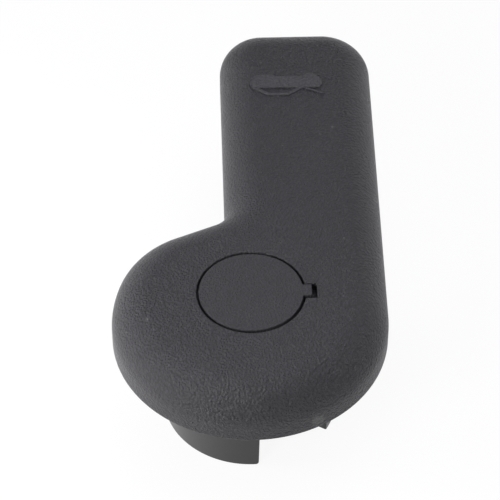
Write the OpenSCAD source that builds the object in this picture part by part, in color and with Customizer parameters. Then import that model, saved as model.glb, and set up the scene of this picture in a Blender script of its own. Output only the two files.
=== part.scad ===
// Hood release handle: a hollow moulded lever with a round head, a C-shaped collar under the head,
// a snap-in cover cap and the captive screw and washer that hold it on its spindle.
//
// Frame: Z is the turning axis and points out of the face, Z = 0 is the plane of the lower rim,
// and the arm runs along +Y.

/* [Body] */
// Radius of the round head
head_r = 28.85; // [27:0.05:31]
// Distance from the turning axis back to the centre of the head's arc
head_shift = 1.35; // [0:0.05:3]
// Height of the shell from its rim to its face
body_h = 11.6; // [11:0.1:14]
// Thickness of the shell's wall and face
wall = 2.4; // [1.8:0.1:3]
// Radius of the round edge between the face and the side
edge_r = 7.85; // [5:0.05:8.5]

/* [Shoulder] */
// Radius of the tighter corner on the head's upper left
corner_r = 20.6; // [18:0.2:24]
// Direction of the point where the corner leaves the head's arc
corner_at = 161.3; // [150:0.1:168]
// Slope of the shoulder that runs from the corner to the arm
shoulder_slope = 24.3; // [15:0.1:30]
// Radius of the inside corner between the shoulder and the arm
neck_r = 4.8; // [3:0.1:8]

/* [Arm] */
// Distance from the turning axis to the arm's tip
arm_reach = 84.5; // [75:0.5:100]
// Distance from the turning axis to the arm's left edge at the tip
arm_left = 5.75; // [4:0.05:9]
// Distance from the turning axis to the arm's right edge at the tip
arm_right = 28.55; // [26:0.05:30]
// Lean of the arm's left edge, inwards towards the head
arm_lean = 0.7; // [0:0.1:2]
// Slope of the tip's edge, which rises a little to the right
tip_slope = 0.7; // [0:0.1:2]
// Radius of the tip's left corner
tip_left_r = 9.6; // [8.6:0.1:12]
// Radius of the tip's right corner
tip_right_r = 11; // [9:0.1:14]

/* [Collar] */
// Outer radius of the collar under the head
collar_r = 18.55; // [17.5:0.05:19.5]
// Thickness of the collar's wall
collar_wall = 2.4; // [1.6:0.1:3]
// Length of the collar below the rim
collar_drop = 22; // [20:0.2:26]
// Direction where the collar's open gap starts
gap_from = -85.2; // [-100:0.1:-75]
// Direction where the collar's open gap ends
gap_to = -30.3; // [-40:0.1:-15]
// Step out from the collar's face to its thicker root inside the shell
root_step = 0.8; // [0.4:0.1:1.2]

/* [Cover cap] */
// Radius of the cover cap
cap_r = 10.85; // [10:0.05:11.5]
// Thickness of the cap's disc
cap_t = 2; // [1.6:0.1:2.2]
// Width of the gap around the cap
cap_gap = 0.4; // [0.2:0.05:0.6]
// Reach of the cap's pry tab from the axis
tab_reach = 12.65; // [12:0.05:13]
// Width of the pry tab
tab_w = 3.2; // [2.4:0.1:4]
// Room between the tab's end and the end of its notch
pry_gap = 1; // [0.6:0.1:1.4]
// Radius of the ring of snap fingers under the cap
finger_r = 9.3; // [8.8:0.1:9.4]
// Thickness of a snap finger
finger_t = 1.1; // [0.8:0.1:1.4]
// Length of a snap finger below the disc
finger_len = 4; // [3.6:0.1:4.4]
// Number of snap fingers
finger_count = 4; // [3:1:6]
// Width of the slot between two fingers
finger_slot = 5; // [3:0.5:7]
// Height that the bead stands out of a finger
bead_h = 0.45; // [0.3:0.05:0.6]

/* [Hub] */
// Thickness of the wall around the cap's well
well_wall = 2.8; // [2.5:0.1:3]
// Height of the screw's seat above the rim plane
seat_z = 0.8; // [0:0.1:1.2]
// Thickness of the web under the screw's seat
web_t = 2.6; // [2:0.1:3.4]
// Depth of the hub's mouth below the rim plane
hub_drop = 20.6; // [19.5:0.1:21.4]
// Radius of the pilot bore at the hub's mouth
pilot_r = 7; // [6.9:0.05:7.4]
// Length of the pilot bore
pilot_len = 8; // [6:0.1:9]
// Thickness of the hub's wall around the pilot bore
hub_wall = 2.4; // [1.6:0.1:2.6]
// Width across the flats of the square drive socket
drive_w = 9.4; // [8:0.1:9.6]

/* [Ribs] */
// Thickness of a rib
rib_t = 1.4; // [1:0.1:2]
// Height of the ribs' edges above the rim plane
rib_z = 1.2; // [0.6:0.1:3]
// Number of lengthwise ribs in the arm
long_ribs = 2; // [1:1:3]
// Distance between the arm's cross ribs
cross_pitch = 13.4; // [9:0.1:18]
// Number of ribs that stiffen the head outside the collar
head_ribs = 7; // [4:1:9]
// Direction of the first rib of the head
head_ribs_from = 165; // [150:1:180]
// Direction of the last rib of the head
head_ribs_to = 360; // [350:1:370]
// Number of gussets between hub and collar
gusset_count = 3; // [3:1:5]
// Length of the gussets below the rim plane
gusset_drop = 9; // [4:0.5:14]

/* [Screw] */
// Radius of the screw's shank
screw_r = 3; // [2.5:0.1:3]
// Length of the screw under its head
screw_len = 12; // [10:0.5:14]
// Radius of the screw's head
screw_head_r = 5.4; // [4.8:0.1:5.8]
// Height of the screw's head
screw_head_h = 3; // [2.4:0.1:3.4]
// Width across the flats of the screw's hexagon socket
screw_key = 4; // [3:0.1:5]
// Height of the socket's floor above the underside of the head
screw_floor = 1; // [0.6:0.1:1.4]
// Radius of the washer
washer_r = 6.5; // [6:0.1:7.5]
// Thickness of the washer
washer_t = 1.2; // [0.8:0.1:1.6]
// Clearance around the screw's shank
screw_clear = 0.3; // [0.2:0.05:0.5]

/* [Hidden] */

$fn = 96;
// Overlap that makes two shapes of one moulding a single solid
eps = 0.01;
// Depth that ribs, root and gussets reach into the face
sink = 0.6;
// Length that a cut runs past what it cuts
over = 1;

// The round edge leaves a small radius at the tip's corners and a low upright side
least_r = 0.1;
least_side = 1;
crown_r = min(edge_r, tip_left_r - least_r, tip_right_r - least_r, body_h - least_side);

// Steps up the round edge, outside and inside, and points on the outline's arcs
outer_steps = 8;
inner_steps = 6;
tip_points = 12;
neck_points = 10;
corner_points = 15;
head_points = 57;

// Outward directions of the outline's straight edges, and how far from the axis two of them run
tip_at = 90 + tip_slope;
left_at = 180 + arm_lean;
shoulder_at = 90 + shoulder_slope;
left_d = heading(left_at) * [-arm_left, arm_reach];

// Centres of the arcs of the head, the tip's corners and the shoulder's corner
head_c = [0, -head_shift];
corner_c = head_c + (head_r - corner_r) * heading(corner_at);
tip_right_c = [arm_right - tip_right_r, arm_reach - tip_right_r];
tip_d = heading(tip_at) * tip_right_c + tip_right_r;
tip_left_c = crossing(tip_at, tip_d - tip_left_r, left_at, left_d - tip_left_r);

// The right edge touches the head's arc and the tip's corner: its outward direction
right_run = tip_right_c - head_c;
right_at = atan2(right_run.y, right_run.x) - acos((head_r - tip_right_r) / norm(right_run));

// The inside corner touches the shoulder and the arm's left edge from outside
shoulder_d = heading(shoulder_at) * corner_c + corner_r;
neck_c = crossing(shoulder_at, shoulder_d + neck_r, left_at, left_d + neck_r);

// Underside of the face, which ribs and gussets hang from
face_z = body_h - wall;
collar_in = collar_r - collar_wall;
root_mid_r = collar_r - collar_wall / 2;

// The well takes the cap's disc, and the narrower throat below it takes the snap fingers
well_r = cap_r + cap_gap;
ledge_z = body_h - cap_t;
throat_r = finger_r + cap_gap;
bead_z = ledge_z - finger_len;

hub_r = pilot_r + hub_wall;
hub_mid_r = pilot_r + hub_wall / 2;
screw_z = seat_z + washer_t;
hole_r = screw_r + screw_clear;

function heading(a) = [cos(a), sin(a)];

// Point where two lines meet, each given by its outward direction and its distance from the axis
function crossing(a1, d1, a2, d2) =
    [d1 * sin(a2) - d2 * sin(a1), d2 * cos(a1) - d1 * cos(a2)] / sin(a2 - a1);

// Points at equal turns on an arc, with both of its ends
function arc(c, r, a1, a2, n) =
    [for (i = [0:n - 1]) c + r * heading(a1 + (a2 - a1) * i / (n - 1))];

function all_but_last(list) = [for (i = [0:len(list) - 2]) list[i]];

// The handle's outline, drawn in by a distance: outside corners shrink and the inside corner grows.
// It runs counterclockwise from the point where the right edge leaves the head's arc, over the tip,
// the inside corner and the shoulder's corner, and back along the head. Two arcs that touch share
// their point, so the first of them is left one point short.
function outline(inset) = concat(
    [head_c + (head_r - inset) * heading(right_at)],
    arc(tip_right_c, tip_right_r - inset, right_at, tip_at, tip_points),
    arc(tip_left_c, tip_left_r - inset, tip_at, left_at, tip_points),
    arc(neck_c, neck_r + inset, arm_lean, shoulder_at - 180, neck_points),
    all_but_last(arc(corner_c, corner_r - inset, shoulder_at, corner_at, corner_points)),
    all_but_last(arc(head_c, head_r - inset, corner_at, 360 + right_at, head_points)));

// Side and round edge as [inset, height] pairs from the bottom up, at a depth under the outer skin
function side(depth, bottom, steps) = concat(
    [[depth, bottom]],
    [for (i = [0:steps]) let (a = 90 * i / steps)
        [crown_r - (crown_r - depth) * cos(a), body_h - crown_r + (crown_r - depth) * sin(a)]]);

function reversed(list) = [for (i = [len(list) - 1:-1:0]) list[i]];

// Skin over a row of outlines, each drawn in and lifted as its pair says, closed by its end faces.
// The end faces are fans, because the outline's first point sees every other point.
module loft(pairs) {
    rings = [for (p = pairs) [for (q = outline(p[0])) [q.x, q.y, p[1]]]];
    n = len(rings[0]);
    last = len(rings) - 1;
    polyhedron(
        points = [for (ring = rings) each ring],
        faces = concat(
            [for (i = [1:n - 2]) [0, i, i + 1]],
            [for (k = [0:last - 1], i = [0:n - 1]) let (j = (i + 1) % n)
                [k * n + i, (k + 1) * n + i, (k + 1) * n + j, k * n + j]],
            [for (i = [1:n - 2]) [last * n, last * n + i + 1, last * n + i]]));
}

// The hollow shell: down its inside, across the rim and up its outside in one closed skin
module shell() {
    loft(concat(reversed(side(wall, 0, inner_steps)), side(0, 0, outer_steps)));
}

// The shell's room up to the middle of its wall, which trims whatever stands inside
module room() {
    loft(side(wall / 2, -eps, inner_steps));
}

module tube(r_out, r_in, z1, z2) {
    translate([0, 0, z1]) difference() {
        cylinder(r = r_out, h = z2 - z1);
        translate([0, 0, -over]) cylinder(r = r_in, h = z2 - z1 + 2 * over);
    }
}

// Wedge of the plan between two directions that are less than 180 degrees apart
module wedge(a1, a2, reach) {
    mid = (a1 + a2) / 2;
    tip_reach = reach / cos((a2 - a1) / 2);
    polygon([[0, 0], reach * heading(a1), tip_reach * heading(mid), reach * heading(a2)]);
}

// The collar below the rim, open at its gap
module collar() {
    difference() {
        tube(collar_r, collar_in, -collar_drop, sink);
        translate([0, 0, -collar_drop - over])
            linear_extrude(collar_drop + over) wedge(gap_from, gap_to, 2 * collar_r);
    }
}

// The collar's thicker root inside the shell, a closed ring up to the face
module collar_root() {
    tube(collar_r + root_step, collar_in, 0, face_z + sink);
}

// Plan of the ribs in the arm and around the head
module rib_plan() {
    arm_mid = (arm_right - arm_left) / 2;
    arm_w = arm_right + arm_left;
    rib_room = arm_w / (long_ribs + 1);
    first_cross = collar_r + cross_pitch / 2;
    for (i = [1:long_ribs])
        translate([i * rib_room - arm_left - rib_t / 2, 0]) square([rib_t, arm_reach]);
    for (y = [first_cross:cross_pitch:arm_reach - tip_left_r])
        translate([arm_mid - arm_w, y - rib_t / 2]) square([2 * arm_w, rib_t]);
    for (i = [0:head_ribs - 1])
        rotate(head_ribs_from + i * (head_ribs_to - head_ribs_from) / (head_ribs - 1))
            translate([0, -rib_t / 2]) square([2 * head_r, rib_t]);
}

// Ribs under the face, trimmed by the shell and by the collar's root
module ribs() {
    intersection() {
        translate([0, 0, rib_z]) linear_extrude(face_z + sink - rib_z) difference() {
            rib_plan();
            circle(r = root_mid_r);
        }
        room();
    }
}

// Gussets that carry the hub in the collar, each from the middle of its wall to the middle of the
// collar's
module gussets() {
    for (i = [0:gusset_count - 1])
        rotate(i * 360 / gusset_count) translate([hub_mid_r, -rib_t / 2, -gusset_drop])
            cube([root_mid_r - hub_mid_r, rib_t, gusset_drop + face_z + sink]);
}

// The well for cap and screw, and the hub below it
module hub() {
    web_z = seat_z - web_t;
    translate([0, 0, web_z]) cylinder(r = well_r + well_wall, h = face_z + sink - web_z);
    translate([0, 0, -hub_drop]) cylinder(r = hub_r, h = hub_drop + seat_z);
}

// Everything that is open from the face or from below: well, notch, screw hole and spindle socket
module hub_openings() {
    translate([0, 0, ledge_z]) cylinder(r = well_r, h = cap_t + over);
    translate([0, 0, seat_z]) cylinder(r = throat_r, h = body_h);
    translate([0, 0, bead_z - cap_gap]) cylinder(r = throat_r + bead_h, h = 2 * bead_h + 2 * cap_gap);
    translate([0, -tab_w / 2 - cap_gap, ledge_z])
        cube([tab_reach + pry_gap, tab_w + 2 * cap_gap, cap_t + over]);
    translate([0, 0, -hub_drop]) cylinder(r = hole_r, h = hub_drop + body_h);
    translate([-drive_w / 2, -drive_w / 2, -hub_drop])
        cube([drive_w, drive_w, hub_drop + seat_z - web_t]);
    translate([0, 0, -hub_drop - over]) cylinder(r = pilot_r, h = pilot_len + over);
}

module handle_body() {
    color([0.27, 0.27, 0.28]) difference() {
        union() {
            shell();
            collar();
            collar_root();
            ribs();
            gussets();
            hub();
        }
        hub_openings();
    }
}

// Section of a snap finger: a straight wall with a bead at its foot
module finger_section() {
    translate([finger_r - finger_t, bead_z]) square([finger_t, finger_len + eps]);
    translate([finger_r, bead_z]) polygon([[-eps, 0], [bead_h, bead_h], [-eps, 2 * bead_h]]);
}

module cover_cap() {
    color([0.28, 0.28, 0.3]) {
        translate([0, 0, ledge_z]) cylinder(r = cap_r, h = cap_t);
        translate([0, -tab_w / 2, ledge_z]) cube([tab_reach, tab_w, cap_t]);
        difference() {
            rotate_extrude() finger_section();
            for (i = [0:finger_count - 1])
                rotate((i + 0.5) * 360 / finger_count)
                    translate([0, -finger_slot / 2, bead_z - over])
                        cube([2 * finger_r, finger_slot, finger_len + over]);
        }
    }
}

module fixing_screw() {
    color([0.75, 0.75, 0.72]) difference() {
        translate([0, 0, screw_z]) {
            translate([0, 0, -screw_len]) cylinder(r = screw_r, h = screw_len + eps);
            cylinder(r = screw_head_r, h = screw_head_h);
        }
        translate([0, 0, screw_z + screw_floor])
            cylinder(d = screw_key / cos(30), h = screw_head_h, $fn = 6);
    }
}

module screw_washer() {
    color([0.7, 0.7, 0.68]) tube(washer_r, hole_r, seat_z, screw_z);
}

handle_body();
cover_cap();
fixing_screw();
screw_washer();
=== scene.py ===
"""Looks of the hood release handle: its moulded body with the embossed sign, the snap-in cap,
the screw and its washer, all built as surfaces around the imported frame.

Lengths are in millimetres until a mesh is made, which turns them into metres.
"""

import bmesh
import bpy
import numpy as np
from mathutils import Matrix, Vector
from mathutils.geometry import delaunay_2d_cdt


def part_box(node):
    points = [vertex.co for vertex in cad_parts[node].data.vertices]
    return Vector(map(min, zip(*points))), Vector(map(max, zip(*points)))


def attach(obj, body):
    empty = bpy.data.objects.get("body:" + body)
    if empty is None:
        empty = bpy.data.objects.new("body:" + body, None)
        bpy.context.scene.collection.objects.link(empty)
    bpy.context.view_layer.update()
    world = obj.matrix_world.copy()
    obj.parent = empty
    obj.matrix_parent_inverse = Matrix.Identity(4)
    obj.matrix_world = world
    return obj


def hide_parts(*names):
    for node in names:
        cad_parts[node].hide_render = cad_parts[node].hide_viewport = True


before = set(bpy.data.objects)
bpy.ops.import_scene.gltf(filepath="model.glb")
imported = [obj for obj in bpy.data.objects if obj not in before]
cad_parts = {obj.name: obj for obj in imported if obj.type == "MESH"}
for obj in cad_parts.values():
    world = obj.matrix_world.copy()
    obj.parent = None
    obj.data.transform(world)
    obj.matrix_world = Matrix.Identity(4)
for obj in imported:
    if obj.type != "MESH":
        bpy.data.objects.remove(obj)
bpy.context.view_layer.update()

MM = 0.001


def node_box(name):
    """Low and high corner of a node of the frame, in millimetres."""
    low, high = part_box(name)
    return np.array(low) / MM, np.array(high) / MM


# Sizes that the frame gives
BODY_LOW, BODY_HIGH = node_box("handle_body")
CAP_HIGH = node_box("cover_cap")[1]
SCREW_LOW, SCREW_HIGH = node_box("fixing_screw")
WASHER_LOW, WASHER_HIGH = node_box("screw_washer")
HEAD_R = (BODY_HIGH[0] - BODY_LOW[0]) / 2
HEAD_C = np.array([0.0, BODY_LOW[1] + HEAD_R])
ARM_REACH = BODY_HIGH[1]
FACE_Z = BODY_HIGH[2]
COLLAR_Z = BODY_LOW[2]
CAP_R = CAP_HIGH[1]
TAB_REACH = CAP_HIGH[0]
SCREW_HEAD_R = SCREW_HIGH[0]
SCREW_TIP_Z = SCREW_LOW[2]
SCREW_TOP_Z = SCREW_HIGH[2]
SEAT_Z = WASHER_LOW[2]
WASHER_R = WASHER_HIGH[0]
UNDER_HEAD_Z = WASHER_HIGH[2]

# The moulded shell
WALL = 2.4
CROWN_R = 7.85
CORNER_R = 20.6
CORNER_AT = np.radians(161.3)
SHOULDER_AT = np.radians(114.3)
NECK_R = 4.8
ARM_LEFT = 5.75
ARM_RIGHT = 28.55
ARM_LEAN = np.radians(0.7)
TIP_AT = np.radians(90.7)
TIP_LEFT_R = 9.6
TIP_RIGHT_R = 11.0
RIM_R = 0.35
CEILING_Z = FACE_Z - WALL

# How finely the surfaces are divided: points round the well and hub, distances between the inner
# points of the face, the ceiling and the cap, level borders beside a round edge, the angles from
# which an edge is sharp, and the distance below which points are merged
WELL_ROUND = 128
FACE_SPACING = 2.2
CEILING_SPACING = 2.6
CAP_SPACING = 1.6
FACE_BORDER = 0.3
LIP_BORDER = 0.12
SHARP_DEG = 35.0
SIGN_SHARP_DEG = 60.0
MERGE = 2e-4

# Collar, hub and ribs
COLLAR_R = 18.55
COLLAR_IN = 16.15
ROOT_R = 19.35
ROOT_IN = 16.05
GAP_FROM = np.radians(-85.0)
GAP_TO = np.radians(-30.3)
GAP_FROM_CORNER = 0.7
GAP_TO_CORNER = 0.3
GAP_LEAN = 0.022
GAP_LEAN_Z = -18.0
GAP_LEAN_RUN = 9.0
COLLAR_EDGE = 0.25
COLLAR_TOP_Z = 1.0
WELL_OUT = 14.05
HUB_R = 9.4
HUB_Z = -20.6
HUB_EDGE = 0.4
WEB_Z = -1.8
PILOT_R = 7.0
PILOT_Z = -12.6
PILOT_EDGE = 0.6
DRIVE_W = 9.4
DRIVE_CORNER_R = 0.5
HOLE_R = 3.3
RIB_T = 1.4
RIB_Z = 1.2
RIB_EDGE = 0.3
RIB_TOP_Z = CEILING_Z + 0.6
CROSS_PITCH = 13.4
HEAD_RIBS = 7
HEAD_RIBS_FROM = 165
HEAD_RIBS_SWEEP = 195
GUSSETS_AT = np.radians([0, 120, 240])
GUSSET_Z = -9.0
GUSSET_SINK = 1

# Cap and well
CAP_GAP = 0.52
WELL_SHIFT = np.array([0.22, 0.07])
NOTCH_TURN = np.radians(0.7)
CAP_TURN = np.radians(1.7)
CAP_SHIFT = WELL_SHIFT + [-0.03, 0.05]
CAP_T = 2.0
TAB_HALF = 1.6
TAB_BLEND_R = 0.3
TAB_TIP_R = 0.35
PRY_GAP = 1.0
NOTCH_GAP = 0.4
NOTCH_BLEND_R = 0.35
NOTCH_TIP_R = 0.3
LIP_R = 0.18
FINGER_R = 9.3
FINGER_T = 1.1
FINGER_LEN = 4.0
FINGER_SINK = 0.4
FINGER_SLOT = 5.0
BEAD_H = 0.45
LEDGE_Z = FACE_Z - CAP_T
THROAT_R = 9.7
BEAD_Z = LEDGE_Z - FINGER_LEN

# Screw, whose thread starts a little above the tip and leaves a plain length under the head, and
# the washer's rounded edge
SCREW_R = 3.0
THREAD_PITCH = 1.0
THREAD_DEPTH = 0.55
SHANK_R = SCREW_R - 0.05
TIP_R = SCREW_R - 0.6
TIP_H = 0.5
PLAIN_H = 1.5
HEAD_EDGE = 0.2
HEAD_SIDE_H = 0.9
KEY_R = 2.3
KEY_BORDER = 0.4
WASHER_EDGE = 0.25


# Plan curves


def heading(angle):
    """Unit vector in the direction of an angle, or one row for each of several angles."""
    return np.stack([np.cos(angle), np.sin(angle)], axis=-1)


def arc(centre, radius, start, end, count):
    """Points at equal turns along a circle: centre plus radius times the direction."""
    return centre + radius * heading(np.linspace(start, end, count))


def circle(radius, count, start=0.0):
    """A whole circle about the axis, counterclockwise, with no point twice."""
    return radius * heading(start + np.linspace(0, 2 * np.pi, count, endpoint=False))


def crossing(angle_a, reach_a, angle_b, reach_b):
    """Point that lies at reach_a along one direction and at reach_b along another."""
    return np.linalg.solve(np.array([heading(angle_a), heading(angle_b)]), [reach_a, reach_b])


def handle_outline(inset):
    """The handle's plan drawn in by inset: five arcs that touch each other or a common line.
    An outside corner's radius shrinks by the inset and the neck's grows by it, so every drawn-in
    outline has the same points in the same order."""
    left_at = np.pi + ARM_LEAN
    left_d = heading(left_at) @ [-ARM_LEFT, ARM_REACH]
    tip_right = np.array([ARM_RIGHT - TIP_RIGHT_R, ARM_REACH - TIP_RIGHT_R])
    tip_d = heading(TIP_AT) @ tip_right + TIP_RIGHT_R
    tip_left = crossing(TIP_AT, tip_d - TIP_LEFT_R, left_at, left_d - TIP_LEFT_R)
    corner = HEAD_C + (HEAD_R - CORNER_R) * heading(CORNER_AT)
    shoulder_d = heading(SHOULDER_AT) @ corner + CORNER_R
    neck = crossing(SHOULDER_AT, shoulder_d + NECK_R, left_at, left_d + NECK_R)
    run = tip_right - HEAD_C
    right_at = np.arctan2(run[1], run[0]) - np.arccos((HEAD_R - TIP_RIGHT_R) / np.hypot(*run))
    return np.vstack([
        arc(tip_right, TIP_RIGHT_R - inset, right_at, TIP_AT, 40),
        arc(tip_left, TIP_LEFT_R - inset, TIP_AT, left_at, 36),
        arc(neck, NECK_R + inset, ARM_LEAN, SHOULDER_AT - np.pi, 36),
        arc(corner, CORNER_R - inset, SHOULDER_AT, CORNER_AT, 44)[:-1],
        arc(HEAD_C, HEAD_R - inset, CORNER_AT, 2 * np.pi + right_at, 150),
    ])


def keyhole(radius, half_width, reach, blend_r, tip_r, grow):
    """A circle with a short straight-sided tab towards +X, grown by a distance: the circle, two
    inside blends and two outside corners, all as arcs."""
    blend = np.array([np.sqrt((radius + blend_r) ** 2 - (half_width + blend_r) ** 2),
                      half_width + blend_r])
    at = np.arctan2(blend[1], blend[0])
    tip = np.array([reach - tip_r, half_width - tip_r])
    down = np.array([1, -1])
    half_pi = np.pi / 2
    return np.vstack([
        arc(tip * down, tip_r + grow, -half_pi, 0, 7),
        arc(tip, tip_r + grow, 0, half_pi, 7),
        arc(blend, blend_r - grow, -half_pi, at - np.pi, 7),
        arc(np.zeros(2), radius + grow, at, 2 * np.pi - at, 121)[1:-1],
        arc(blend * down, blend_r - grow, np.pi - at, half_pi, 7),
    ])


def turned(loop, angle):
    """A plan loop turned about the axis: its points times the rotation's matrix."""
    c, s = np.cos(angle), np.sin(angle)
    return loop @ np.array([[c, s], [-s, c]])


def well_loop(grow):
    """The well's plan with the notch for the cap's tab."""
    loop = keyhole(CAP_R + CAP_GAP, TAB_HALF + NOTCH_GAP, TAB_REACH + PRY_GAP, NOTCH_BLEND_R,
                   NOTCH_TIP_R, grow)
    return turned(loop, NOTCH_TURN) + WELL_SHIFT


def cap_loop(inset):
    """The cap's plan as it sits in the well: turned by a degree or so and a little aside."""
    loop = keyhole(CAP_R, TAB_HALF, TAB_REACH, TAB_BLEND_R, TAB_TIP_R, -inset)
    return turned(loop, CAP_TURN) + CAP_SHIFT


# Mesh patches


class Skin:
    """Patches of one closed surface, joined at their common borders when the mesh is made."""

    def __init__(self):
        self.points = []
        self.faces = []
        self.count = 0

    def add(self, points, faces):
        self.points.append(np.asarray(points, float))
        self.faces.extend((np.asarray(faces) + self.count).tolist())
        self.count += len(points)

    def band(self, loops):
        """Quads between neighbouring closed loops with as many points each, row by row."""
        grid = np.array(loops)
        rows, cols = grid.shape[:2]
        i, j = np.meshgrid(np.arange(rows - 1), np.arange(cols), indexing="ij")
        k = (j + 1) % cols
        quads = np.stack([i * cols + j, i * cols + k, (i + 1) * cols + k, (i + 1) * cols + j], -1)
        self.add(grid.reshape(-1, 3), quads.reshape(-1, 4))

    def flat(self, outer, holes, height, up, spacing=0.0):
        """A level face between an outer loop and its holes: constrained Delaunay triangles, of
        which those outside the outer loop or inside a hole are left out."""
        loops = [outer, *holes]
        plan = np.vstack(loops)
        starts = np.cumsum([0] + [len(loop) for loop in loops])
        edges = [(int(s + i), int(s + (i + 1) % len(loop)))
                 for s, loop in zip(starts, loops) for i in range(len(loop))]
        if spacing:
            plan = np.vstack([plan, inner_points(outer, holes, spacing)])
        found = delaunay_2d_cdt([Vector(p) for p in plan], edges, [], 0, 1e-6)
        points = np.array([tuple(v) for v in found[0]])
        triangles = np.array([tuple(t) for t in found[2]])
        middle = points[triangles].mean(axis=1)
        keep = inside(middle, outer)
        for hole in holes:
            keep &= ~inside(middle, hole)
        triangles = triangles[keep]
        a, b, c = (points[triangles[:, n]] for n in range(3))
        turn = (b[:, 0] - a[:, 0]) * (c[:, 1] - a[:, 1]) - (b[:, 1] - a[:, 1]) * (c[:, 0] - a[:, 0])
        wrong = (turn > 0) != up
        triangles[wrong] = triangles[wrong][:, ::-1]
        self.add(np.c_[points, np.full(len(points), height)], triangles)


def inside(points, loop):
    """Which points lie in a closed loop: those whose ray towards +X crosses it an odd number of
    times."""
    x, y = points[:, :1], points[:, 1:]
    a, b = loop, np.roll(loop, -1, axis=0)
    spans = (a[:, 1] > y) != (b[:, 1] > y)
    run = b[:, 1] - a[:, 1]
    run = np.where(run == 0, 1.0, run)
    at = a[:, 0] + (y - a[:, 1]) * (b[:, 0] - a[:, 0]) / run
    return (spans & (x < at)).sum(axis=1) % 2 == 1


def inner_points(outer, holes, spacing):
    """A hexagonal grid of points over a level face, kept clear of its borders."""
    low, high = outer.min(0), outer.max(0)
    row_gap = spacing * np.sqrt(3) / 2
    rows = np.arange(low[1], high[1], row_gap)
    cols = np.arange(low[0], high[0], spacing)
    x, y = np.meshgrid(cols, rows)
    x = x + (np.arange(len(rows)) % 2)[:, None] * spacing / 2
    points = np.c_[x.ravel(), y.ravel()]
    border = np.vstack([outer, *holes])
    clear = np.sqrt(((points[:, None] - border[None]) ** 2).sum(-1)).min(axis=1) > 0.6 * spacing
    keep = inside(points, outer) & clear
    for hole in holes:
        keep &= ~inside(points, hole)
    return points[keep]


def lifted(loop, height):
    """A plan loop at a height, or at one height for each point."""
    return np.c_[loop, np.broadcast_to(height, len(loop))]


def quarter(steps):
    """Sine and cosine of equal turns over a quarter circle, with both ends."""
    turn = np.linspace(0, np.pi / 2, steps + 1)
    return list(zip(np.sin(turn), np.cos(turn)))


def mesh_object(name, skin, sharp_deg=SHARP_DEG):
    """One object from a skin: borders merged, faces turned outwards, smooth but for sharp edges."""
    mesh = bpy.data.meshes.new(name)
    mesh.from_pydata(np.vstack(skin.points) * MM, [], skin.faces)
    form = bmesh.new()
    form.from_mesh(mesh)
    bmesh.ops.remove_doubles(form, verts=form.verts, dist=MERGE * MM)
    bmesh.ops.recalc_face_normals(form, faces=form.faces)
    form.to_mesh(mesh)
    form.free()
    finish_shading(mesh, sharp_deg)
    piece = bpy.data.objects.new(name, mesh)
    bpy.context.collection.objects.link(piece)
    return piece


def finish_shading(mesh, sharp_deg):
    """Smooth faces all over, with edges kept sharp from an angle up."""
    mesh.polygons.foreach_set("use_smooth", np.ones(len(mesh.polygons), bool))
    mesh.set_sharp_from_angle(angle=np.radians(sharp_deg))


def combine(base, others, operation, sharp_deg=SHARP_DEG):
    """Boolean of a base with other closed pieces, which it uses up."""
    for other in others:
        cut = base.modifiers.new(operation.lower(), "BOOLEAN")
        cut.operation = operation
        cut.object = other
        cut.solver = "MANIFOLD"
    graph = bpy.context.evaluated_depsgraph_get()
    mesh = bpy.data.meshes.new_from_object(base.evaluated_get(graph))
    base.modifiers.clear()
    old = base.data
    base.data = mesh
    bpy.data.meshes.remove(old)
    mesh.name = base.name
    for other in others:
        bpy.data.meshes.remove(other.data)
    finish_shading(mesh, sharp_deg)
    return base


# The moulded body


def skin_side(depth, bottom, steps, rim=0.0):
    """Inset and height up the side at a depth under the outer skin: a rounded rim, the upright
    wall, then a quarter circle up to the level of the face."""
    rows = [(depth + rim * (1 - s), bottom + rim * (1 - c)) for s, c in quarter(4)] if rim else [
        (depth, bottom)]
    round_z = FACE_Z - CROWN_R
    rows += [(depth, z) for z in np.linspace(rows[-1][1], round_z, 4)[1:-1]]
    rows += [(CROWN_R - (CROWN_R - depth) * c, round_z + (CROWN_R - depth) * s)
             for s, c in quarter(steps)]
    return rows


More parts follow.
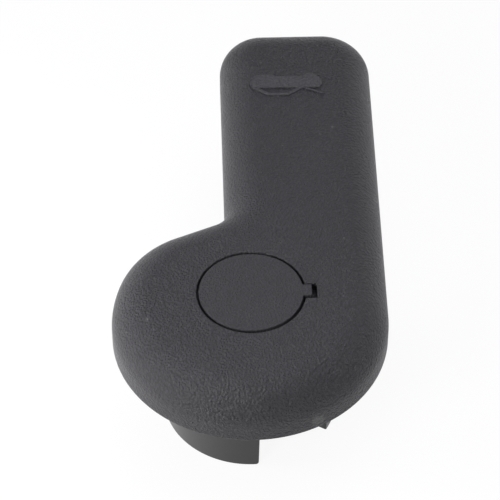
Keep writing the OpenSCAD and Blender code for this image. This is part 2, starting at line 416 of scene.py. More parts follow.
def body_skin():
    """The moulding's whole skin as one walk: from the well's lip over the face, the round edge,
    the side, the rim, the inside of the shell, down and round the hub, up its spindle socket and
    screw hole, over the screw's seat and up the well again."""
    skin = Skin()

    # Face, with a narrow level border at the round edge and at the well's lip
    lip = [lifted(well_loop(LIP_R * (1 - c)), FACE_Z - LIP_R * (1 - s)) for s, c in quarter(5)]
    lip_border = well_loop(LIP_R + LIP_BORDER)
    face_border = handle_outline(CROWN_R + FACE_BORDER)
    skin.band([lifted(well_loop(0), LEDGE_Z), *lip, lifted(lip_border, FACE_Z)])
    skin.flat(face_border, [lip_border], FACE_Z, True, FACE_SPACING)
    side = skin_side(0, 0, 22, RIM_R)[::-1] + skin_side(WALL, 0, 12)
    skin.band([lifted(face_border, FACE_Z)]
              + [lifted(handle_outline(inset), z) for inset, z in side])

    # Ceiling, well wall, hub and spindle socket
    well = circle(WELL_OUT, WELL_ROUND)
    skin.flat(handle_outline(CROWN_R), [well], CEILING_Z, False, CEILING_SPACING)
    skin.band([lifted(well, z) for z in (CEILING_Z, WEB_Z)])
    skin.flat(well, [circle(HUB_R, WELL_ROUND)], WEB_Z, False)
    mouth = [(HUB_R, WEB_Z)]
    mouth += [(HUB_R - HUB_EDGE * (1 - c), HUB_Z + HUB_EDGE * (1 - s)) for s, c in quarter(3)]
    mouth += [(PILOT_R + PILOT_EDGE * (1 - s), HUB_Z + PILOT_EDGE * (1 - c))
              for s, c in quarter(3)]
    mouth += [(PILOT_R, PILOT_Z)]
    skin.band([lifted(circle(r, WELL_ROUND), z) for r, z in mouth])
    skin.flat(circle(PILOT_R, WELL_ROUND), [drive_square()], PILOT_Z, False)
    skin.band([lifted(drive_square(), z) for z in (PILOT_Z, WEB_Z)])

    # Screw hole, the screw's seat, the throat with a groove for the fingers' beads, and the ledge
    hole = circle(HOLE_R, WELL_ROUND // 2)
    skin.flat(drive_square(), [hole], WEB_Z, False)
    skin.band([lifted(hole, z) for z in (WEB_Z, SEAT_Z)])
    skin.flat(circle(THROAT_R, WELL_ROUND), [hole], SEAT_Z, True)
    groove_r = THROAT_R + BEAD_H
    groove_low, groove_high = BEAD_Z - CAP_GAP, BEAD_Z + 2 * BEAD_H + CAP_GAP
    throat = [(THROAT_R, SEAT_Z), (THROAT_R, groove_low), (groove_r, groove_low),
              (groove_r, groove_high), (THROAT_R, groove_high), (THROAT_R, LEDGE_Z)]
    skin.band([lifted(circle(r, WELL_ROUND), z) for r, z in throat])
    skin.flat(well_loop(0), [circle(THROAT_R, WELL_ROUND)], LEDGE_Z, True)
    return mesh_object("handle_moulding", skin)


def drive_square():
    """The spindle socket's square with small round corners."""
    reach = DRIVE_W / 2 - DRIVE_CORNER_R
    corners = [np.array([x, y]) for x, y in ((reach, -reach), (reach, reach), (-reach, reach),
                                             (-reach, -reach))]
    return np.vstack([arc(c, DRIVE_CORNER_R, (k - 1) * np.pi / 2, k * np.pi / 2, 5)
                      for k, c in enumerate(corners)])


def ring_piece(name, r_in, r_out, low, high, count=160):
    """A plain closed ring: four circles joined round by bands."""
    skin = Skin()
    rows = [(r_in, low), (r_out, low), (r_out, high), (r_in, high), (r_in, low)]
    skin.band([lifted(circle(r, count), z) for r, z in rows])
    return mesh_object(name, skin)


def end_rise(room, radius):
    """How far a round of a radius has drawn back at a distance from the end it runs out to."""
    near = max(radius - room, 0)
    return radius - np.sqrt(radius**2 - near**2)


def collar_section(from_room, to_room, count=5):
    """Cross-section of the collar's wall at its distances from the gap's two ends: a rectangle
    with round lower corners. Near an end it is drawn in by a quarter circle and its foot lifts in
    that end's own, so the end's edges and its lower corner come out round."""
    edge = COLLAR_EDGE
    inset = end_rise(min(from_room, to_room), edge)
    lift = max(end_rise(from_room, GAP_FROM_CORNER), end_rise(to_room, GAP_TO_CORNER))
    r_in, r_out = COLLAR_IN + inset, COLLAR_R - inset
    foot = COLLAR_Z + lift
    low_in = [(r_in + edge * (1 - c), foot + edge * (1 - s)) for s, c in quarter(count)]
    low_out = [(r_out - edge * (1 - s), foot + edge * (1 - c)) for s, c in quarter(count)]
    return np.array([(r_in, COLLAR_TOP_Z), *low_in, *low_out, (r_out, COLLAR_TOP_Z)])


def collar_piece():
    """The open collar: its wall's section swept from the gap's one end round to the other, with
    closely spaced stations where the end faces round off. The end that faces the viewer leans
    back towards its foot: its last stations turn away in proportion to their depth."""
    turn = np.linspace(0, np.pi / 2, 9)
    length = (2 * np.pi + GAP_FROM - GAP_TO) * COLLAR_R
    first, last = (r * (1 - np.cos(turn)) for r in (GAP_TO_CORNER, GAP_FROM_CORNER))
    main = np.linspace(GAP_TO_CORNER, length - GAP_FROM_CORNER, 140)
    run = np.r_[first[:-1], main, (length - last[:-1])[::-1]]
    rings = []
    for along in run:
        r, z = collar_section(length - along, along).T
        share = np.clip(1 - (length - along) / GAP_LEAN_RUN, 0, 1)
        lean = GAP_LEAN * (np.minimum(z, 0) - GAP_LEAN_Z) * share
        rings.append(np.c_[r[:, None] * heading(GAP_TO + (along + lean) / COLLAR_R), z])
    skin = Skin()
    skin.band(rings)
    side = len(rings[0])
    skin.add(rings[0], [list(range(side))])
    skin.add(rings[-1], [list(range(side))[::-1]])
    return mesh_object("collar", skin)


def rib_piece(name, start, end, low):
    """A straight rib between two plan points, from a height up into the ceiling: a box whose lower
    edges are rounded."""
    start, end = np.asarray(start, float), np.asarray(end, float)
    along = (end - start) / np.linalg.norm(end - start)
    across = np.array([-along[1], along[0]])
    half = RIB_T / 2
    section = [(-half, RIB_TOP_Z)]
    section += [(-half + RIB_EDGE * (1 - c), low + RIB_EDGE * (1 - s)) for s, c in quarter(3)]
    section += [(half - RIB_EDGE * (1 - s), low + RIB_EDGE * (1 - c)) for s, c in quarter(3)]
    section += [(half, RIB_TOP_Z)]
    offset, z = np.array(section).T
    rings = [np.c_[at + offset[:, None] * across, z] for at in (start, end)]
    skin = Skin()
    skin.band(rings)
    side = len(section)
    skin.add(rings[0], [list(range(side))])
    skin.add(rings[1], [list(range(side))[::-1]])
    return mesh_object(name, skin)


def rib_pieces():
    """The underside's ribs: lengthwise and across in the arm, and like spokes round the head.
    Every rib starts inside the collar root's wall."""
    start_r = (ROOT_R + ROOT_IN) / 2
    width = ARM_LEFT + ARM_RIGHT
    ribs = []
    for i in (1, 2):
        x = i * width / 3 - ARM_LEFT
        ribs.append(((x, np.sqrt(start_r**2 - x**2)), (x, ARM_REACH)))
    for y in np.arange(COLLAR_R + CROSS_PITCH / 2, ARM_REACH - TIP_LEFT_R, CROSS_PITCH):
        ribs.append(((-2 * ARM_LEFT, y), (ARM_RIGHT + ARM_LEFT, y)))
    spokes = HEAD_RIBS_FROM + HEAD_RIBS_SWEEP * np.arange(HEAD_RIBS) / (HEAD_RIBS - 1)
    for angle in np.radians(spokes):
        ribs.append((start_r * heading(angle), 1.2 * HEAD_R * heading(angle)))
    return [rib_piece(f"rib_{k}", a, b, RIB_Z) for k, (a, b) in enumerate(ribs)]


def room_piece():
    """The shell's room up to the middle of its wall, as a closed piece that trims the ribs."""
    rows = skin_side(WALL / 2, -1, 12)
    skin = Skin()
    skin.flat(handle_outline(WALL / 2), [], -1, False)
    skin.band([lifted(handle_outline(inset), z) for inset, z in rows])
    skin.flat(handle_outline(CROWN_R), [], rows[-1][1], True)
    return mesh_object("room", skin)


def moulded_body():
    """Skin, collar, root, ribs and gussets made one closed moulding."""
    first, *ribs = rib_pieces()
    ribs = combine(first, ribs, "UNION")
    ribs = combine(ribs, [room_piece()], "INTERSECT")
    root = ring_piece("root", ROOT_IN, ROOT_R, 0, RIB_TOP_Z)
    gussets = [rib_piece(f"gusset_{k}", (HUB_R - GUSSET_SINK) * heading(a),
                         (COLLAR_IN + GUSSET_SINK) * heading(a), GUSSET_Z)
               for k, a in enumerate(GUSSETS_AT)]
    return combine(body_skin(), [root, collar_piece(), ribs, *gussets], "UNION")


# The embossed sign

# Its middle on the face, the heights of the car and of the bars, how far its sides slope inwards,
# the shares of that slope in the side and in the rounded edge, and its depth below the face
SIGN_C = np.array([9.3, 62.2])
SIGN_H = 0.32
BAR_H = 0.24
SIGN_SLOPE = 0.2
SIDE_SHARE = 0.3
EDGE_SHARE = 0.7
SIGN_SINK = 0.3
SLAB_CORNER_R = 0.45


def stroke(start, end, width):
    """A line of even width with round ends: two half circles joined by straight sides."""
    start, end = np.array(start, float), np.array(end, float)
    at = np.arctan2(*(end - start)[::-1])
    half = np.pi / 2
    return lambda inset: np.vstack([arc(end, width / 2 - inset, at - half, at + half, 9),
                                    arc(start, width / 2 - inset, at + half, at + 3 * half, 9)])


def corners_rounded(corners, radius):
    """A polygon with round corners, drawn in by an inset: at each corner an arc whose centre lies
    radius from both sides. It bulges or turns in with the corner."""
    corners = np.array(corners, float)
    before, after = np.roll(corners, 1, axis=0), np.roll(corners, -1, axis=0)

    def loop(inset):
        points = []
        for a, p, b in zip(before, corners, after):
            u, v = (p - a) / np.linalg.norm(p - a), (b - p) / np.linalg.norm(b - p)
            turn = np.arctan2(u[0] * v[1] - u[1] * v[0], u @ v)
            side = np.sign(turn)
            left = np.array([-u[1], u[0]])
            centre = p - u * radius * np.tan(abs(turn) / 2) + left * side * radius
            start = np.arctan2(*(-left * side)[::-1])
            points.append(arc(centre, radius - side * inset, start, start + turn, 6))
        return np.vstack(points)

    return loop


def relief(name, loop, height):
    """A raised figure: its outline from below the face up a steep side to a rounded top edge."""
    skin = Skin()
    low, top = FACE_Z - SIGN_SINK, FACE_Z + height
    rows = [(0, low), (0, FACE_Z)]
    rows += [(SIGN_SLOPE * (SIDE_SHARE + EDGE_SHARE * (1 - c)),
              top - EDGE_SHARE * SIGN_SLOPE * (1 - s)) for s, c in quarter(3)]
    skin.flat(loop(0), [], low, False)
    skin.band([lifted(loop(inset), z) for inset, z in rows])
    skin.flat(loop(SIGN_SLOPE), [], top, True)
    return mesh_object(name, skin, SIGN_SHARP_DEG)


def open_hood_sign():
    """A plain car seen from the side with its hood up, its roof towards the pivot: the body slab
    with two wheel bumps, the cabin's frame round a sunk window and the raised hood."""
    slab = [(-8.3, 1.5), (-7.6, -0.15), (7.3, -0.15), (8.1, 1.2), (8.0, 2.7), (6.2, 4.7),
            (4.7, 4.9), (3.3, 3.9), (-2.2, 3.9), (-3.5, 4.6), (-6.2, 4.4), (-7.9, 3.5)]
    bars = [((-7.3, 0.1), (-4.0, -2.1), 1.0), ((-4.0, -2.1), (0.4, -2.0), 1.0),
            ((0.4, -2.0), (3.3, 0.2), 0.95), ((3.3, 0.2), (8.0, -1.8), 0.7)]
    bars = [relief(f"bar_{k}", stroke(SIGN_C + a, SIGN_C + b, width), BAR_H)
            for k, (a, b, width) in enumerate(bars)]
    slab = relief("open_hood_sign", corners_rounded(SIGN_C + slab, SLAB_CORNER_R), SIGN_H)
    return combine(slab, bars, "UNION", SIGN_SHARP_DEG)


# Cap, screw and washer


def cap_disc():
    """The cap's disc with its tab: underside, side, rounded lip and level top."""
    skin = Skin()
    inner = cap_loop(LIP_R + LIP_BORDER)
    skin.flat(cap_loop(0), [], LEDGE_Z, False)
    lip = [lifted(cap_loop(LIP_R * (1 - c)), FACE_Z - LIP_R * (1 - s)) for s, c in quarter(5)]
    skin.band([lifted(cap_loop(0), LEDGE_Z), *lip, lifted(inner, FACE_Z)])
    skin.flat(inner, [], FACE_Z, True, CAP_SPACING)
    return mesh_object("cap_moulding", skin)


def finger(name, start, end):
    """One snap finger: its section with the bead at its foot, swept round between two angles."""
    top = LEDGE_Z + FINGER_SINK
    section = np.array([
        (FINGER_R - FINGER_T, top), (FINGER_R - FINGER_T, BEAD_Z), (FINGER_R, BEAD_Z),
        (FINGER_R + BEAD_H, BEAD_Z + BEAD_H), (FINGER_R, BEAD_Z + 2 * BEAD_H), (FINGER_R, top)])
    r, z = section.T
    rings = [np.c_[r[:, None] * heading(a), z] for a in np.linspace(start, end, 24)]
    skin = Skin()
    skin.band(rings)
    skin.add(rings[0], [list(range(len(r)))])
    skin.add(rings[-1], [list(range(len(r)))[::-1]])
    return mesh_object(name, skin)


def cap_piece():
    """The cap: its disc on four snap fingers, each a quarter turn less the slots between them."""
    slot = np.arcsin(FINGER_SLOT / 2 / FINGER_R)
    fingers = [finger(f"finger_{k}", (k - 0.5) * np.pi / 2 + slot, (k + 0.5) * np.pi / 2 - slot)
               for k in range(4)]
    return combine(cap_disc(), fingers, "UNION")


def screw_piece():
    """The screw: one surface over turn and height. The shank's radius follows a triangle wave of
    height less turn, which is a single thread, and fades out to the plain shank at both ends."""
    skin = Skin()
    count = 48
    turn = np.linspace(0, 2 * np.pi, count, endpoint=False)
    heights = np.linspace(SCREW_TIP_Z + TIP_H, UNDER_HEAD_Z - PLAIN_H, 150)

    def ring(r, z):
        return lifted(circle(r, count), z)

    shank = []
    for z in heights:
        wave = np.abs(((z / THREAD_PITCH - turn / (2 * np.pi)) % 1) - 0.5) * 2
        fade = np.clip((z - SCREW_TIP_Z - TIP_H) / THREAD_PITCH, 0, 1) * np.clip(
            (UNDER_HEAD_Z - PLAIN_H - z) / THREAD_PITCH, 0, 1)
        radius = SHANK_R - THREAD_DEPTH * (1 - wave) * fade
        shank.append(np.c_[radius[:, None] * heading(turn), np.full(count, z)])
    head_h = SCREW_TOP_Z - UNDER_HEAD_Z
    head = [ring(SCREW_HEAD_R - HEAD_EDGE, UNDER_HEAD_Z),
            ring(SCREW_HEAD_R, UNDER_HEAD_Z + HEAD_EDGE)]
    head += [ring(KEY_R + KEY_BORDER + (SCREW_HEAD_R - KEY_R - KEY_BORDER) * c,
                  UNDER_HEAD_Z + HEAD_SIDE_H + (head_h - HEAD_SIDE_H) * s) for s, c in quarter(8)]
    hexagon = KEY_R * np.cos(np.pi / 6) / np.cos((turn + np.pi / 6) % (np.pi / 3) - np.pi / 6)
    socket = np.c_[hexagon[:, None] * heading(turn), np.full(count, SCREW_TOP_Z)]
    socket_floor = socket * [1, 1, 0] + [0, 0, UNDER_HEAD_Z + head_h / 3]
    skin.band([ring(TIP_R, SCREW_TIP_Z), *shank, ring(SHANK_R, UNDER_HEAD_Z), *head, socket,
               socket_floor])
    skin.flat(circle(TIP_R, count), [], SCREW_TIP_Z, False)
    skin.add(socket_floor, [list(range(count))])
    return mesh_object("threaded_screw", skin)


def washer_piece():
    """A flat washer with rounded outer edges: its section turned about the axis."""
    skin = Skin()
    edge = WASHER_EDGE
    outer = [(WASHER_R - edge * (1 - s), SEAT_Z + edge * (1 - c)) for s, c in quarter(4)]
    upper = [(WASHER_R - edge * (1 - c), UNDER_HEAD_Z - edge * (1 - s)) for s, c in quarter(4)]
    rows = [(HOLE_R, SEAT_Z), *outer, *upper, (HOLE_R, UNDER_HEAD_Z), (HOLE_R, SEAT_Z)]
    skin.band([lifted(circle(r, 96), z) for r, z in rows])
    return mesh_object("flat_washer", skin)


# Shader groups and materials


class Nodes:
    """Short calls for building a node tree."""

    def __init__(self, tree):
        self.tree = tree

    def add(self, kind, **settings):
        node = self.tree.nodes.new(kind)
        inputs = settings.pop("inputs", {})
        for name, value in settings.items():
            setattr(node, name, value)
        for name, value in inputs.items():
            if isinstance(value, bpy.types.NodeSocket):
                self.tree.links.new(value, node.inputs[name])
            else:
                node.inputs[name].default_value = value
        return node

    def math(self, operation, a, b=0.0, clamp=False):
        return self.add("ShaderNodeMath", operation=operation, use_clamp=clamp,
                        inputs={0: a, 1: b}).outputs[0]

    def ramp(self, value, low, high):
        """0 below low, 1 above high, smooth between."""
        return self.add("ShaderNodeMapRange", interpolation_type="SMOOTHSTEP",
                        inputs={"Value": value, "From Min": low, "From Max": high}).outputs[0]


def new_group(name, inputs, outputs):
    """An empty shader group with named float, vector or colour sockets."""
    tree = bpy.data.node_groups.new(name, "ShaderNodeTree")
    kinds = {"float": "NodeSocketFloat", "vector": "NodeSocketVector", "colour": "NodeSocketColor"}
    for socket_name, kind, default in inputs:
        socket = tree.interface.new_socket(socket_name, in_out="INPUT", socket_type=kinds[kind])
        if default is not None:
            socket.default_value = default
    for socket_name, kind in outputs:
        tree.interface.new_socket(socket_name, in_out="OUTPUT", socket_type=kinds[kind])
    nodes = Nodes(tree)
    return tree, nodes, nodes.add("NodeGroupInput"), nodes.add("NodeGroupOutput")


def moulded_grain_group():
    """Leather grain of a moulded skin as a height: rounded pebbles between narrow creases, warped
    so that no cell is regular, with a finer pebble laid over it."""
    tree, n, given, out = new_group(
        "moulded grain",
        [("Vector", "vector", None), ("Size", "float", 0.001), ("Fine", "float", 0.4)],
        [("Height", "float")])
    scale = n.math("DIVIDE", 1.0, given.outputs["Size"])
    warp = n.add("ShaderNodeTexNoise", inputs={
        "Vector": given.outputs["Vector"], "Scale": n.math("MULTIPLY", scale, 0.9), "Detail": 2.0})
    bent = n.add("ShaderNodeVectorMath", operation="MULTIPLY_ADD", inputs={
        0: warp.outputs["Color"],
        1: n.add("ShaderNodeCombineXYZ", inputs={
            axis: n.math("MULTIPLY", given.outputs["Size"], 1.3) for axis in "XYZ"}).outputs[0],
        2: given.outputs["Vector"]})
    pebble = n.add("ShaderNodeTexVoronoi", feature="SMOOTH_F1", inputs={
        "Vector": bent.outputs[0], "Scale": scale, "Smoothness": 0.35, "Randomness": 1.0})
    broad = n.math("SUBTRACT", 1.0, n.math("MULTIPLY", pebble.outputs["Distance"], 1.25))
    fine = n.add("ShaderNodeTexNoise", inputs={
        "Vector": bent.outputs[0], "Scale": n.math("MULTIPLY", scale, 3.0), "Detail": 3.0,
        "Roughness": 0.6})
    height = n.math("ADD", broad, n.math(
        "MULTIPLY", fine.outputs["Fac"], given.outputs["Fine"]))
    tree.links.new(height, out.inputs["Height"])
    return tree


def bright_specks_group():
    """Sparse light specks: the cores of widely spaced cells, kept where a second, broad noise
    allows them."""
    tree, n, given, out = new_group(
        "bright specks",
        [("Vector", "vector", None), ("Spacing", "float", 0.006), ("Radius", "float", 0.045)],
        [("Mask", "float")])
    scale = n.math("DIVIDE", 1.0, given.outputs["Spacing"])
    cell = n.add("ShaderNodeTexVoronoi", feature="F1", inputs={
        "Vector": given.outputs["Vector"], "Scale": scale, "Randomness": 1.0})
    core = n.math("SUBTRACT", 1.0, n.ramp(cell.outputs["Distance"], n.math(
        "MULTIPLY", given.outputs["Radius"], 0.5), given.outputs["Radius"]))
    chosen = n.ramp(n.add("ShaderNodeSeparateColor", inputs={
        "Color": cell.outputs["Color"]}).outputs["Red"], 0.55, 0.8)
    tree.links.new(n.math("MULTIPLY", core, chosen), out.inputs["Mask"])
    return tree


def rubbed_mark_group():
    """One rubbed mark: full at a place, gone at a radius, with an edge made ragged by noise."""
    tree, n, given, out = new_group(
        "rubbed mark",
        [("Vector", "vector", None), ("Place", "vector", None), ("Radius", "float", 0.001)],
        [("Mask", "float")])
    away = n.add("ShaderNodeVectorMath", operation="DISTANCE", inputs={
        0: given.outputs["Vector"], 1: given.outputs["Place"]}).outputs["Value"]
    ragged = n.add("ShaderNodeTexNoise", inputs={
        "Vector": given.outputs["Vector"], "Scale": 1600.0, "Detail": 2.0}).outputs["Fac"]
    share = n.math("DIVIDE", away, given.outputs["Radius"])
    share = n.math("ADD", share, n.math("MULTIPLY", n.math("SUBTRACT", ragged, 0.5), 1.6))
    tree.links.new(n.math("SUBTRACT", 1.0, n.ramp(share, 0.45, 1.0)), out.inputs["Mask"])
    return tree


GRAIN = moulded_grain_group()
SPECKS = bright_specks_group()
MARK = rubbed_mark_group()

# Places and radii in millimetres, and strengths, of the marks that the photograph shows: the rubbed
# patch on the head's lower edge, then small light nicks
MARKS = [
    ((13.2, -26.9, 2.2), 1.9, 0.55),
    ((22.2, 32.7, 11.2), 0.35, 0.9), ((22.9, 33.8, 10.9), 0.3, 0.7),
    ((21.5, 31.4, 11.4), 0.28, 0.6), ((18.9, 49.4, 11.5), 0.35, 0.6),
    ((-21.2, -7.2, 11.5), 0.35, 0.9), ((-20.0, -10.0, 11.6), 0.3, 0.5),
    ((20.1, 15.2, 11.6), 0.3, 0.6),
]

# Colours of the black plastics: the ground in its darker and lighter clouds, the grain's tops with
# painted light on them, which leaves painted shade in the creases, the smooth collar, partly its
# own tone and partly painted light, the raised sign's lighter top, and the cap with the same
# painted light on its grain tops
GROUND_DARK = (0.0300, 0.0290, 0.0335, 1.0)
GROUND_LIGHT = (0.0365, 0.0355, 0.0410, 1.0)
GRAIN_TOP_PAINTED_LIGHT = (0.084, 0.082, 0.090, 1.0)
COLLAR_TONE_AND_PAINTED_LIGHT = (0.050, 0.049, 0.051, 1.0)
RAISED_SIGN_GREY = (0.080, 0.079, 0.085, 1.0)
CAP_GROUND = (0.0330, 0.0320, 0.0370, 1.0)
CAP_GRAIN_TOP_PAINTED_LIGHT = (0.080, 0.078, 0.086, 1.0)
# Share of painted light laid on the grain's tops, which leaves painted shade in its creases
PAINTED_GRAIN_LIGHT_SHARE = 0.5

# Their grain: the size and depth of a pebble in metres, the share of the finer pebble, the heights
# in the pattern between which its tops take the painted light, the metres round the rim's plane
# over which it fades in, and the millimetres above the face over which it fades on the raised sign
BODY_GRAIN = {"Size": 0.00055, "Fine": 0.7}
BODY_GRAIN_DEPTH = 0.00033
CAP_GRAIN = {"Size": 0.00042, "Fine": 0.9}
CAP_GRAIN_DEPTH = 0.00023
PAINTED_TOPS_FROM, PAINTED_TOPS_TO = 0.6, 1.4
GRAIN_FROM_Z, GRAIN_TO_Z = -0.0006, 0.0004
RAISED_FROM, RAISED_TO = 0.08, 0.18
RAISED_SIGN_LIGHTER_SHARE = 0.06
SIGN_FLATTER = 0.5

# Their light specks: spacing in metres, radius in spacings, strength and grey; and the rubbed grey
BODY_SPECKS = {"Spacing": 0.0028, "Radius": 0.07}
BODY_SPECK_SHARE = 0.7
BODY_SPECK_GREY = 0.22
CAP_SPECKS = {"Spacing": 0.003, "Radius": 0.06}
CAP_SPECK_SHARE = 0.5
CAP_SPECK_GREY = 0.20
RUBBED_GREY = 0.19

# Their gloss
SPECULAR = 0.42
COLLAR_ROUGH = 0.26
GRAIN_ROUGH = 0.04
CLOUD_ROUGH = 0.06
CAP_ROUGH = 0.45


def blank_material(name):
    """A material with a Principled shader, and the Object coordinates that its patterns follow."""
    material = bpy.data.materials.new(name)
    material.use_nodes = True
    material.node_tree.nodes.clear()
    n = Nodes(material.node_tree)
    shader = n.add("ShaderNodeBsdfPrincipled")
    out = n.add("ShaderNodeOutputMaterial", inputs={"Surface": shader.outputs[0]})
    out.is_active_output = True
    where = n.add("ShaderNodeTexCoord").outputs["Object"]
    return material, n, shader, where


def mix_colour(n, share, low, high):
    """A colour between low and high by a share, each a value or another node's output."""
    node = n.add("ShaderNodeMix", data_type="RGBA")
    for socket, value in ((node.inputs[0], share), (node.inputs[6], low), (node.inputs[7], high)):
        if isinstance(value, bpy.types.NodeSocket):
            n.tree.links.new(value, socket)
        else:
            socket.default_value = value
    return node.outputs[2]


def grey(value, warmth=0.0):
    """A grey, warmed by raising red and lowering blue by a share."""
    return (value * (1 + warmth), value, value * (1 - warmth), 1.0)


def body_material():
    """Black moulded plastic: grained above the rim, smooth on the collar and finer on the raised
    sign, with light specks and the marks of use."""
    material, n, shader, where = blank_material("grained_black_plastic")
    height = n.add("ShaderNodeSeparateXYZ", inputs={"Vector": where}).outputs["Z"]
    grained = n.ramp(height, GRAIN_FROM_Z, GRAIN_TO_Z)
    raised = n.ramp(height, (FACE_Z + RAISED_FROM) * MM, (FACE_Z + RAISED_TO) * MM)
    grain = n.add("ShaderNodeGroup", node_tree=GRAIN, inputs={
        "Vector": where, **BODY_GRAIN}).outputs["Height"]
    cloud = n.add("ShaderNodeTexNoise", inputs={
        "Vector": where, "Scale": 55.0, "Detail": 3.0}).outputs["Fac"]
    specks = n.add("ShaderNodeGroup", node_tree=SPECKS, inputs={
        "Vector": where, **BODY_SPECKS}).outputs["Mask"]

    colour = mix_colour(n, cloud, GROUND_DARK, GROUND_LIGHT)
    # Painted light on the grain's tops and painted shade in the creases between them: the higher
    # the pattern, the lighter the colour
    painted_tops = n.math("MULTIPLY", n.ramp(grain, PAINTED_TOPS_FROM, PAINTED_TOPS_TO), grained)
    colour = mix_colour(n, n.math("MULTIPLY", painted_tops, PAINTED_GRAIN_LIGHT_SHARE), colour, GRAIN_TOP_PAINTED_LIGHT)
    # The collar's grey is partly its own tone and partly painted light, lighter than the body's
    # ground
    colour = mix_colour(n, grained, COLLAR_TONE_AND_PAINTED_LIGHT, colour)
    colour = mix_colour(n, n.math("MULTIPLY", raised, RAISED_SIGN_LIGHTER_SHARE), colour, RAISED_SIGN_GREY)
    specks = n.math("MULTIPLY", n.math("MULTIPLY", specks, grained), BODY_SPECK_SHARE)
    colour = mix_colour(n, specks, colour, grey(BODY_SPECK_GREY))
    for place, radius, strength in MARKS:
        mark = n.add("ShaderNodeGroup", node_tree=MARK, inputs={
            "Vector": where, "Place": Vector(place) * MM, "Radius": radius * MM}).outputs["Mask"]
        colour = mix_colour(n, n.math("MULTIPLY", mark, strength), colour, grey(RUBBED_GREY))
    n.tree.links.new(colour, shader.inputs["Base Color"])

    rough = n.math("ADD", n.math("MULTIPLY", grained, GRAIN_ROUGH), n.math(
        "ADD", COLLAR_ROUGH, n.math("MULTIPLY", cloud, CLOUD_ROUGH)))
    n.tree.links.new(rough, shader.inputs["Roughness"])
    shader.inputs["Specular IOR Level"].default_value = SPECULAR
    relief_share = n.math("MULTIPLY", grained, n.math("SUBTRACT", 1.0, n.math(
        "MULTIPLY", raised, SIGN_FLATTER)))
    bump = n.add("ShaderNodeBump", inputs={
        "Height": n.math("MULTIPLY", grain, relief_share), "Distance": BODY_GRAIN_DEPTH,
        "Strength": 1.0})
    n.tree.links.new(bump.outputs["Normal"], shader.inputs["Normal"])
    return material


def cap_material():
    """The cap's finer and flatter texture."""
    material, n, shader, where = blank_material("fine_black_plastic")
    grain = n.add("ShaderNodeGroup", node_tree=GRAIN, inputs={
        "Vector": where, **CAP_GRAIN}).outputs["Height"]
    specks = n.add("ShaderNodeGroup", node_tree=SPECKS, inputs={
        "Vector": where, **CAP_SPECKS}).outputs["Mask"]
    # Painted light on the cap's grain tops, with painted shade in its creases
    painted_tops = n.math("MULTIPLY", n.ramp(grain, PAINTED_TOPS_FROM, PAINTED_TOPS_TO), PAINTED_GRAIN_LIGHT_SHARE)
    colour = mix_colour(n, painted_tops, CAP_GROUND, CAP_GRAIN_TOP_PAINTED_LIGHT)
    specks = n.math("MULTIPLY", specks, CAP_SPECK_SHARE)
    colour = mix_colour(n, specks, colour, grey(CAP_SPECK_GREY))
    n.tree.links.new(colour, shader.inputs["Base Color"])
    shader.inputs["Roughness"].default_value = CAP_ROUGH
    shader.inputs["Specular IOR Level"].default_value = SPECULAR
    bump = n.add("ShaderNodeBump", inputs={
        "Height": grain, "Distance": CAP_GRAIN_DEPTH, "Strength": 1.0})
    n.tree.links.new(bump.outputs["Normal"], shader.inputs["Normal"])
    return material


def steel_material(name, base, rough):
    """Plated steel with slight staining, which also dulls it."""
    material, n, shader, where = blank_material(name)
    shader.inputs["Metallic"].default_value = 1.0
    stain = n.add("ShaderNodeTexNoise", inputs={
        "Vector": where, "Scale": 420.0, "Detail": 4.0}).outputs["Fac"]
    n.tree.links.new(mix_colour(n, stain, grey(base, 0.01), grey(base * 0.75, 0.03)),
                     shader.inputs["Base Color"])
    n.tree.links.new(n.math("ADD", rough, n.math("MULTIPLY", stain, 0.15)),
                     shader.inputs["Roughness"])
    return material


# Floor, light and camera

# The floor: how much of it is plain white to the camera and to glass, how much less to a
# reflection, its paleness to all other light, its reach in metres and its gap below the collar
FLOOR_WHITE = 0.92
FLOOR_LESS_GLOSSY = 0.37
FLOOR_GREY = 0.4
FLOOR_REACH = 30.0
FLOOR_GAP = 0.02


def floor_material():
    """A white floor that keeps a soft shadow: mostly plain white to the camera, less so in
    reflections, and a grey that only scatters for all other light."""
    material = bpy.data.materials.new("white_floor")
    material.use_nodes = True
    material.node_tree.nodes.clear()
    n = Nodes(material.node_tree)
    glow = n.add("ShaderNodeEmission", inputs={"Color": grey(1.0), "Strength": 1.0})
    path = n.add("ShaderNodeLightPath").outputs
    seen = n.math("MAXIMUM", path["Is Camera Ray"], n.math(
        "MAXIMUM", path["Is Glossy Ray"], path["Is Transmission Ray"]))
    share = n.math("SUBTRACT", n.math("MULTIPLY", seen, FLOOR_WHITE), n.math(
        "MULTIPLY", path["Is Glossy Ray"], FLOOR_LESS_GLOSSY))
    diffuse = n.add("ShaderNodeBsdfDiffuse", inputs={
        "Color": mix_colour(n, seen, grey(FLOOR_GREY), grey(1.0))})
    mixed = n.add("ShaderNodeMixShader", inputs={
        0: share, 1: diffuse.outputs[0], 2: glow.outputs[0]})
    n.add("ShaderNodeOutputMaterial", inputs={"Surface": mixed.outputs[0]})
    return material


def floor():
    """One large square just below the collar."""
    skin = Skin()
    corners = FLOOR_REACH / MM * np.array([(-1, -1), (1, -1), (1, 1), (-1, 1)])
    skin.add(lifted(corners, COLLAR_Z - FLOOR_GAP), [[0, 1, 2, 3]])
    piece = mesh_object("floor", skin)
    piece.data.materials.append(floor_material())


# The studio's soft patches of sky: azimuth and elevation in degrees, cosine of the reach from the
# middle to the edge, and strength; and the tints of the light low down and overhead
SKY_PATCHES = [
    (0, 90, 0.66, 0.8), (45, 50, 0.66, 1.0), (90, 45, 0.75, 0.9), (60, 10, 0.66, 0.4),
]
LOW_TINT = (1.01, 1.0, 0.98, 1.0)
HIGH_TINT = (0.98, 0.98, 1.05, 1.0)

# Two small lamps, both aimed at the head: their places and size in metres, and their power
SOFTBOXES = [("front_softbox", (-0.12, -0.17, 0.12)), ("left_softbox", (-0.20, 0.0, 0.05))]
SOFTBOX_SIZE = 0.08
SOFTBOX_WATTS = 0.31


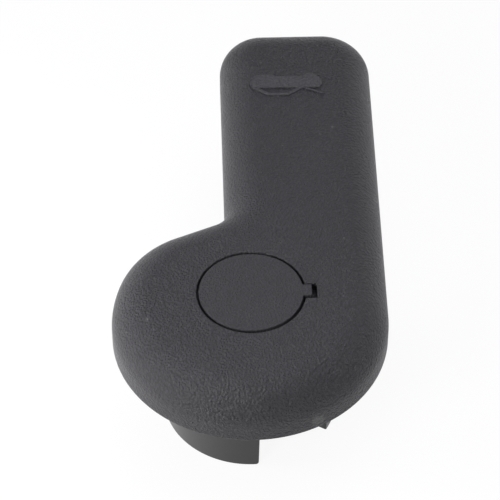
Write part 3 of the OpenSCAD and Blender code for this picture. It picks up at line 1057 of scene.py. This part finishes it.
def world_light():
    """The studio's light as a function of direction: a sum of soft round patches, each full in its
    middle and gone at its edge, cool overhead and neutral low down."""
    world = bpy.data.worlds.new("studio")
    world.use_nodes = True
    world.node_tree.nodes.clear()
    n = Nodes(world.node_tree)
    where = n.add("ShaderNodeTexCoord").outputs["Generated"]
    level = 0.0
    for azimuth, elevation, edge, strength in SKY_PATCHES:
        rise = np.radians(elevation)
        aim = (*(heading(np.radians(azimuth)) * np.cos(rise)), np.sin(rise))
        near = n.add("ShaderNodeVectorMath", operation="DOT_PRODUCT", inputs={
            0: where, 1: aim}).outputs["Value"]
        level = n.math("ADD", level, n.math("MULTIPLY", n.ramp(near, edge, 1.0), strength))
    high = n.ramp(n.add("ShaderNodeSeparateXYZ", inputs={"Vector": where}).outputs["Z"], 0.1, 0.7)
    back = n.add("ShaderNodeBackground", inputs={
        "Color": mix_colour(n, high, LOW_TINT, HIGH_TINT), "Strength": level})
    n.add("ShaderNodeOutputWorld", inputs={"Surface": back.outputs[0]})
    bpy.context.scene.world = world


def softbox(name, place):
    """A square area lamp that faces the frame's origin from its place."""
    lamp = bpy.data.lights.new(name, "AREA")
    lamp.shape = "SQUARE"
    lamp.size = SOFTBOX_SIZE
    lamp.energy = SOFTBOX_WATTS
    piece = bpy.data.objects.new(name, lamp)
    piece.location = place
    piece.rotation_euler = (-Vector(place)).to_track_quat("-Z", "Y").to_euler()
    bpy.context.collection.objects.link(piece)


# The photograph's view, fitted to the handle's outline: tilt and turn in radians, focal length and
# scale at the face in pixels, and where the turning axis meets the face in the frame
VIEW_TILT = 0.8043
VIEW_TURN = -0.01787
FOCAL_PX = 2500.0
PX_PER_MM = 4.8405
FRAME_PX = 500
AXIS_PX = np.array([250.159, 292.013])
SENSOR_MM = 36.0


def camera():
    """The photograph's view: it looks down at the face's centre point from a measured tilt and
    turn, stands where the scale at that point comes out right, and is moved aside so that the
    point falls on its place in the frame."""
    distance = FOCAL_PX / PX_PER_MM
    c, s = np.cos(VIEW_TILT), np.sin(VIEW_TILT)
    turn = heading(VIEW_TURN)
    back = np.array([turn[1] * c, -turn[0] * c, s])
    right = np.array([turn[0], turn[1], 0])
    up = np.cross(back, right)
    off = (AXIS_PX - FRAME_PX / 2) * distance / FOCAL_PX
    place = np.array([0, 0, FACE_Z]) + distance * back - off[0] * right + off[1] * up
    lens = bpy.data.cameras.new("camera")
    lens.sensor_width = SENSOR_MM
    lens.lens = SENSOR_MM * FOCAL_PX / FRAME_PX
    lens.clip_start, lens.clip_end = 0.01, 100
    piece = bpy.data.objects.new("camera", lens)
    axes = Matrix((right, up, back)).transposed()
    piece.matrix_world = Matrix.Translation(Vector(place * MM)) @ axes.to_4x4()
    bpy.context.collection.objects.link(piece)
    bpy.context.scene.camera = piece


def dress(piece, material, slot, *nodes):
    """Gives a finished piece its material and its place on the one body, and hides the node it
    stands for.
    """
    piece.data.materials.clear()
    piece.data.materials.append(material)
    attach(piece, "root")
    if nodes:
        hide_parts(*nodes)


black = body_material()
dress(moulded_body(), black, "body_plastic", "handle_body")
dress(open_hood_sign(), black, "body_plastic")
dress(cap_piece(), cap_material(), "cap_plastic", "cover_cap")
dress(screw_piece(), steel_material("screw_steel", 0.55, 0.3), "screw_steel", "fixing_screw")
dress(washer_piece(), steel_material("washer_steel", 0.5, 0.35), "washer_steel", "screw_washer")

bpy.context.scene.view_settings.view_transform = "Standard"
floor()
world_light()
for name, place in SOFTBOXES:
    softbox(name, place)
camera()
